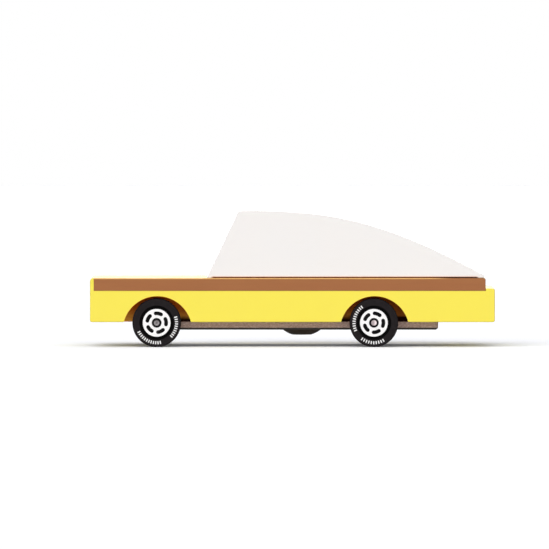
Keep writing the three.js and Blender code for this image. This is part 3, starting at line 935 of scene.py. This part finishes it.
def make_plate():
    corners = [
        (plate_low.x, plate_low.y, PLATE_CORNER_RADIUS),
        (plate_high.x, plate_low.y, PLATE_CORNER_RADIUS),
        (plate_high.x, plate_high.y, PLATE_CORNER_RADIUS),
        (plate_low.x, plate_high.y, PLATE_CORNER_RADIUS),
    ]
    rows = [
        (PLATE_CHAMFER + PLATE_EDGE_EASE, plate_low.z),
        (PLATE_CHAMFER - PLATE_EDGE_EASE, plate_low.z + PLATE_EDGE_EASE),
        (PLATE_EDGE_EASE, plate_low.z + PLATE_CHAMFER - PLATE_EDGE_EASE),
        (0.0, plate_low.z + PLATE_CHAMFER + PLATE_EDGE_EASE),
        (0.0, plate_high.z - PLATE_EDGE_EASE),
        (PLATE_EDGE_EASE, plate_high.z),
    ]
    outline = rounded(corners, PLATE_CORNER_STEPS)
    plate = slab("fibreboard_plate", [outline], rows, upright, fibreboard)
    below = plate_low.z - CUT_MARGIN
    above = plate_high.z + CUT_MARGIN
    spot_face_radius = screw_head_radius + SPOT_FACE_MARGIN
    shank_hole_radius = SCREW_SHANK_RADIUS + RUNNING_GAP
    spot_face = circle(spot_face_radius, SCREW_SIDES, screw_centre.x)
    carve(plate, slab("spot_face", [spot_face], straight_rows(below, screw_seat_z), upright, fibreboard))
    carve(plate, upright_hole(screw_centre.x, 0.0, shank_hole_radius, below, above, fibreboard))
    for axle in axle_centres:
        carve(plate, axle_groove(axle, fibreboard))
    mount(plate, "car_body", "chassis_plate")


def make_screw():
    """A low domed head with a cross recess, and a plain shank up into the body."""
    shank_top = screw_high.z - screw_seat_z
    dome_mid = (SCREW_HEAD_FLAT + screw_head_radius) / 2
    loop = Loop()
    loop.add(0.0, -SCREW_HEAD_HEIGHT)
    loop.add(SCREW_HEAD_FLAT, -SCREW_HEAD_HEIGHT)
    rim = screw_head_radius, -SCREW_HEAD_RIM
    loop.curve((loop.points[-1], (dome_mid, -SCREW_DOME_DEPTH), rim), SCREW_DOME_STEPS)
    shoulder = screw_head_radius - SCREW_EASE, 0.0
    loop.curve((rim, (screw_head_radius, 0.0), shoulder), SMALL_CORNER_STEPS)
    loop.add(SCREW_SHANK_RADIUS, 0.0)
    loop.add(SCREW_SHANK_RADIUS, shank_top - SCREW_TIP_LENGTH)
    loop.add(0.0, shank_top)
    seat = Vector((screw_centre.x, 0.0, screw_seat_z))
    screw = turned(
        "domed_screw",
        loop,
        SCREW_SIDES,
        lambda spot, along: seat + upright(spot, along),
        bronzed_steel,
    )
    long, short = RECESS_LENGTH / 2, RECESS_WIDTH / 2
    cross = rounded([
        (long, -short, short / 2), (long, short, short / 2), (short, short, short / 3),
        (short, long, short / 2), (-short, long, short / 2), (-short, short, short / 3),
        (-long, short, short / 2), (-long, -short, short / 2), (-short, -short, short / 3),
        (-short, -long, short / 2), (short, -long, short / 2), (short, -short, short / 3),
    ], EASE_STEPS)
    recess_rows = straight_rows(screw_low.z - CUT_MARGIN, screw_low.z + RECESS_DEPTH)
    cutter = slab("recess", [cross], recess_rows, upright, bronzed_steel)
    cutter.data.transform(Matrix.Translation((screw_centre.x, 0.0, 0.0)))
    carve(screw, cutter)
    mount(screw, "car_body", "chassis_screw")


def make_axle(name, axle):
    """A steel pin with a peened, dimpled head at each end."""
    low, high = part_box(name)
    head_radius = (high.x - low.x) / 2
    head_end = high.y
    right_end = [
        (AXLE_RADIUS, head_end - AXLE_HEAD_THICKNESS, 0.0),
        (head_radius, head_end - AXLE_HEAD_THICKNESS, AXLE_HEAD_CHAMFER / 3),
        (head_radius, head_end, AXLE_HEAD_CHAMFER),
        (AXLE_DIMPLE_RADIUS, head_end, AXLE_HEAD_CHAMFER),
        (0.0, head_end - AXLE_DIMPLE_DEPTH, 0.0),
    ]
    left_end = [(radius, -along, ease) for radius, along, ease in reversed(right_end)]
    profile = rounded(left_end + right_end, EASE_STEPS)
    pin = turned(
        f"steel_{name}",
        profile,
        AXLE_SIDES,
        lambda spot, along: Vector((axle.x + spot.x, along, axle.z + spot.y)),
        bright_steel,
    )
    mount(pin, "car_body", name)


class Wheel:
    """One wheel: where it is, which way it faces, and how far its disc has turned."""

    def __init__(self, prefix, turn, bar_arcs):
        self.prefix = prefix
        self.turn = turn
        self.bar_arcs = bar_arcs
        low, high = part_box(f"{prefix}_tyre")
        self.centre = (low + high) / 2
        self.side = math.copysign(1.0, self.centre.y)
        self.tyre_radius = (high.z - low.z) / 2
        self.half_tyre = (high.y - low.y) / 2
        disc_low, disc_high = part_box(f"{prefix}_wheel_disc")
        self.disc_radius = (disc_high.x - disc_low.x) / 2
        self.disc_face = max(self.outward_of(disc_low), self.outward_of(disc_high))
        self.hub_face = min(self.outward_of(disc_low), self.outward_of(disc_high))
        hub_low, hub_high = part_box(f"{prefix}_wheel_hub")
        self.boss_end = max(self.outward_of(hub_low), self.outward_of(hub_high))
        self.thrust_end = min(self.outward_of(hub_low), self.outward_of(hub_high))
        self.seat_radius = self.disc_radius - HUB_SEAT_DEPTH
        self.hub_inner = HUB_INNER_SETBACK - self.half_tyre

    def outward_of(self, point):
        return self.side * (point.y - self.centre.y)

    def place(self, spot, outward):
        """A point of the wheel seen from the car's left, and how far out of the wheel's middle it lies."""
        return self.centre + Vector((spot.x, self.side * outward, spot.y))

    def mount(self, piece, node, slot):
        mount(piece, f"{self.prefix}_wheel", node and f"{self.prefix}_{node}")


def make_tyre(wheel):
    opening = wheel.disc_radius + PRESS_GAP
    groove = opening + SIDEWALL_GROOVE_WIDTH - SIDEWALL_GROOVE_SLOPE
    face = wheel.half_tyre
    floor = face - SIDEWALL_GROOVE_DEPTH
    seat = wheel.seat_radius + PRESS_GAP
    outer_lip = wheel.hub_face - HUB_FLANGE_THICKNESS - PRESS_GAP
    inner_lip = wheel.hub_inner + HUB_FLANGE_THICKNESS + PRESS_GAP
    outer_wall = [
        (wheel.tyre_radius, face, TYRE_SHOULDER),
        (groove + SIDEWALL_GROOVE_SLOPE, face, TYRE_EASE),
        (groove, floor, TYRE_EASE),
        (opening, floor, TYRE_EASE),
    ]
    inner_wall = [(radius, -along, ease) for radius, along, ease in reversed(outer_wall)]
    seat_corners = [
        (opening, outer_lip, TYRE_LIP_EASE),
        (seat, outer_lip, TYRE_EASE),
        (seat, inner_lip, TYRE_EASE),
        (opening, inner_lip, TYRE_LIP_EASE),
    ]
    profile = rounded(inner_wall + outer_wall + seat_corners)
    tyre = turned(f"{wheel.prefix}_rubber_tyre", profile, WHEEL_SIDES, wheel.place, rubber)
    wheel.mount(tyre, "tyre", "tyre_rubber")


def make_bars(wheel):
    """Plain white bars in two arcs on the outer sidewall."""
    mesh = bmesh.new()
    middle = (BAR_INNER_RADIUS + BAR_OUTER_RADIUS) / 2
    for start, end in wheel.bar_arcs:
        count = round((end - start) * middle / BAR_PITCH)
        for index in range(count):
            turn = start + (end - start) * (index + 0.5) / count
            bar = rounded([
                (BAR_INNER_RADIUS, -BAR_WIDTH / 2, BAR_CORNER_RADIUS),
                (BAR_OUTER_RADIUS, -BAR_WIDTH / 2, BAR_CORNER_RADIUS),
                (BAR_OUTER_RADIUS, BAR_WIDTH / 2, BAR_CORNER_RADIUS),
                (BAR_INNER_RADIUS, BAR_WIDTH / 2, BAR_CORNER_RADIUS),
            ], SMALL_CORNER_STEPS)
            spin = Matrix.Rotation(turn, 2)
            bar.points = [spin @ point for point in bar.points]
            rows = [(0.0, -BAR_RAISED), (0.0, BAR_RAISED / 2), (BAR_RAISED / 2, BAR_RAISED)]
            rows = [(inset, wheel.half_tyre + rise) for inset, rise in rows]
            add_slab(mesh, [bar], rows, wheel.place)
    bars = piece_from(f"{wheel.prefix}_tyre_bars", mesh, white_ink)
    wheel.mount(bars, None, "disc_plastic")


def make_hub(wheel):
    """A moulded drum: two flanges hold the tyre, and a web carries the sleeve on the axle."""
    bore = AXLE_RADIUS + RUNNING_GAP
    web = wheel.hub_face - HUB_WEB_THICKNESS
    cup = wheel.seat_radius - HUB_RIM_WALL
    inner_flange = wheel.hub_inner + HUB_FLANGE_THICKNESS
    outer_flange = wheel.hub_face - HUB_FLANGE_THICKNESS
    corners = [
        (bore, wheel.thrust_end), (HUB_SLEEVE_RADIUS, wheel.thrust_end),
        (HUB_SLEEVE_RADIUS, web), (cup, web),
        (cup, wheel.hub_inner), (wheel.disc_radius, wheel.hub_inner),
        (wheel.disc_radius, inner_flange), (wheel.seat_radius, inner_flange),
        (wheel.seat_radius, outer_flange), (wheel.disc_radius, outer_flange),
        (wheel.disc_radius, wheel.hub_face), (HUB_BOSS_RADIUS, wheel.hub_face),
        (HUB_BOSS_RADIUS, wheel.boss_end), (bore, wheel.boss_end),
    ]
    profile = rounded([(radius, along, HUB_EASE) for radius, along in corners], EASE_STEPS)
    hub = turned(f"{wheel.prefix}_hub_drum", profile, WHEEL_SIDES, wheel.place, black_plastic)
    wheel.mount(hub, "wheel_hub", "hub_plastic")


def slot_loop(turn):
    """A curved slot with round ends, following the ring round the boss."""
    start, end = turn - SLOT_SWEEP / 2, turn + SLOT_SWEEP / 2
    half = SLOT_WIDTH / 2
    loop = Loop()
    loop.arc((0, 0), SLOT_RING_RADIUS - half, start, end, SLOT_STEPS)
    tip = Vector((math.cos(end), math.sin(end))) * SLOT_RING_RADIUS
    loop.arc(tip, half, end + math.pi, end, SLOT_STEPS)
    loop.arc((0, 0), SLOT_RING_RADIUS + half, end, start, SLOT_STEPS)
    root = Vector((math.cos(start), math.sin(start))) * SLOT_RING_RADIUS
    loop.arc(root, half, start, start - math.pi, SLOT_STEPS)
    before = [loop.points[-1]] + loop.points[:-1]
    loop.points = [here for here, last in zip(loop.points, before) if (here - last).length > WELD_DISTANCE]
    return loop


def make_disc(wheel):
    boss_hole = circle(HUB_BOSS_RADIUS + PRESS_GAP, BOSS_HOLE_SIDES, clockwise=True)
    loops = [circle(wheel.disc_radius, WHEEL_SIDES), boss_hole]
    for index in range(SLOT_COUNT):
        loops.append(slot_loop(wheel.turn + 2 * math.pi * index / SLOT_COUNT))
    rows = rounded_rows(wheel.hub_face, wheel.disc_face, DISC_EASE, SMALL_CORNER_STEPS)
    disc = slab(f"{wheel.prefix}_slotted_disc", loops, rows, wheel.place, white_plastic)
    wheel.mount(disc, "wheel_disc", "disc_plastic")


def degrees(*pairs):
    return [(math.radians(start), math.radians(end)) for start, end in pairs]


FRONT_TURN = math.radians(7)
REAR_TURN = math.radians(-3)
FRONT_BARS = degrees((-46, 20), (-156, -76))
REAR_BARS = degrees((-130, -58), (124, 206))

make_body()
make_band("side_band_left", -1)
make_band("side_band_right", 1)
make_cabin()
make_plate()
make_screw()
for axle_name, axle_centre in zip(("front_axle", "rear_axle"), axle_centres):
    make_axle(axle_name, axle_centre)
for prefix, turn, bars in (
    ("front_left", FRONT_TURN, FRONT_BARS),
    ("front_right", FRONT_TURN, FRONT_BARS),
    ("rear_left", REAR_TURN, REAR_BARS),
    ("rear_right", REAR_TURN, REAR_BARS),
):
    wheel = Wheel(prefix, turn, bars)
    make_tyre(wheel)
    make_bars(wheel)
    make_hub(wheel)
    make_disc(wheel)
for name in DOWELS:
    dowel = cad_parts[name].data
    dowel.materials.clear()
    dowel.materials.append(raw_beech)

# Stage: a white floor, with soft lights of its own so that the shadow stays clear under an evenly lit car
FLOOR_REACH = 3.0
FLOOR_THICKNESS = 2 * MM
FLOOR_WHITE = colour(0.2, 0.2, 0.2)
SEEN_WHITE = colour(0.94, 0.95, 0.99)
FLOOR_GLOW = colour(0.05, 0.05, 0.05)
DOME_LEVEL = 0.25
SOFT_SPREAD = math.radians(90)
CAR_FRONT_LEVEL = 0.755
CAR_FRONT_FROM = Vector((-0.05, -0.97, 0.24))
CAR_BACK_LEVEL = 0.6
CAR_BACK_FROM = Vector((-0.1, 0.85, 0.52))
FLOOR_FRONT_LEVEL = 1.58
FLOOR_FRONT_FROM = Vector((-0.25, -0.90, 0.34))
FLOOR_BACK_LEVEL = 0.35
FLOOR_BACK_FROM = Vector((0.2, 0.84, 0.5))


def seen_directly(finish):
    """1 for what the camera sees by itself or in a reflection, 0 for light that falls on things."""
    names = "Is Camera Ray", "Is Glossy Ray", "Is Transmission Ray"
    camera, glossy, transmission = (finish.node("ShaderNodeLightPath", output=name) for name in names)
    seen = camera + glossy + transmission
    return seen.math("MINIMUM", seen, 1.0)


def make_floor():
    mesh = bmesh.new()
    add_slab(mesh, [circle(FLOOR_REACH, FLOOR_SIDES)], straight_rows(-FLOOR_THICKNESS, 0.0), upright)
    white = new_finish("white_floor")
    seen = seen_directly(white)
    finish = white.surface(
        Base_Color=white.blend(seen, FLOOR_WHITE, SEEN_WHITE),
        Roughness=1.0,
        Specular_IOR_Level=0.0,
        Emission_Color=white.blend(seen, colour(0, 0, 0), FLOOR_GLOW),
        Emission_Strength=1.0,
    )
    floor = piece_from("floor", mesh, finish)
    return floor


def make_world():
    world = bpy.data.worlds.new("white_studio")
    sky = Finish(world)
    level = DOME_LEVEL + (1.0 - DOME_LEVEL) * seen_directly(sky)
    light = sky.node("ShaderNodeBackground", {}, {"Color": colour(1, 1, 1), "Strength": level})
    bpy.context.scene.world = sky.ended("ShaderNodeOutputWorld", light)


def make_light(name, level, source, floor, on_floor):
    """A wide, soft light for the floor alone, or for all but the floor, which then lets it pass."""
    lamp = bpy.data.lights.new(name, "SUN")
    lamp.energy = level * math.pi
    lamp.angle = SOFT_SPREAD
    light = bpy.data.objects.new(name, lamp)
    light.rotation_mode = "QUATERNION"
    light.rotation_quaternion = source.to_track_quat("Z", "Y")
    bpy.context.scene.collection.objects.link(light)
    group = bpy.data.collections.new(f"{name}_floor")
    group.objects.link(floor)
    group.collection_objects[0].light_linking.link_state = "INCLUDE" if on_floor else "EXCLUDE"
    light.light_linking.receiver_collection = group
    if not on_floor:
        light.light_linking.blocker_collection = group


# Camera: a long lens, almost level with the car, square on its left side
SENSOR_WIDTH = 36.0
CAMERA_DISTANCE = 3.0
CAMERA_ELEVATION = math.radians(1.0)
NEAREST_SEEN = 0.1
FARTHEST_SEEN = 20.0
VIEW_WIDTH = 115.2 * MM
VIEW_CENTRE = Vector((-3.764 * MM, -half_width, 15.255 * MM))


def make_camera():
    lens = bpy.data.cameras.new("camera")
    lens.sensor_width = SENSOR_WIDTH
    lens.lens = SENSOR_WIDTH * CAMERA_DISTANCE / VIEW_WIDTH
    lens.clip_start = NEAREST_SEEN
    lens.clip_end = FARTHEST_SEEN
    camera = bpy.data.objects.new("camera", lens)
    back = Vector((0.0, -math.cos(CAMERA_ELEVATION), math.sin(CAMERA_ELEVATION)))
    camera.location = VIEW_CENTRE + back * CAMERA_DISTANCE
    camera.rotation_mode = "QUATERNION"
    camera.rotation_quaternion = back.to_track_quat("Z", "Y")
    bpy.context.scene.collection.objects.link(camera)
    bpy.context.scene.camera = camera


white_floor = make_floor()
make_world()
make_light("car_front_light", CAR_FRONT_LEVEL, CAR_FRONT_FROM, white_floor, False)
make_light("car_back_light", CAR_BACK_LEVEL, CAR_BACK_FROM, white_floor, False)
make_light("floor_front_light", FLOOR_FRONT_LEVEL, FLOOR_FRONT_FROM, white_floor, True)
make_light("floor_back_light", FLOOR_BACK_LEVEL, FLOOR_BACK_FROM, white_floor, True)
make_camera()
bpy.context.scene.view_settings.view_transform = "Standard"
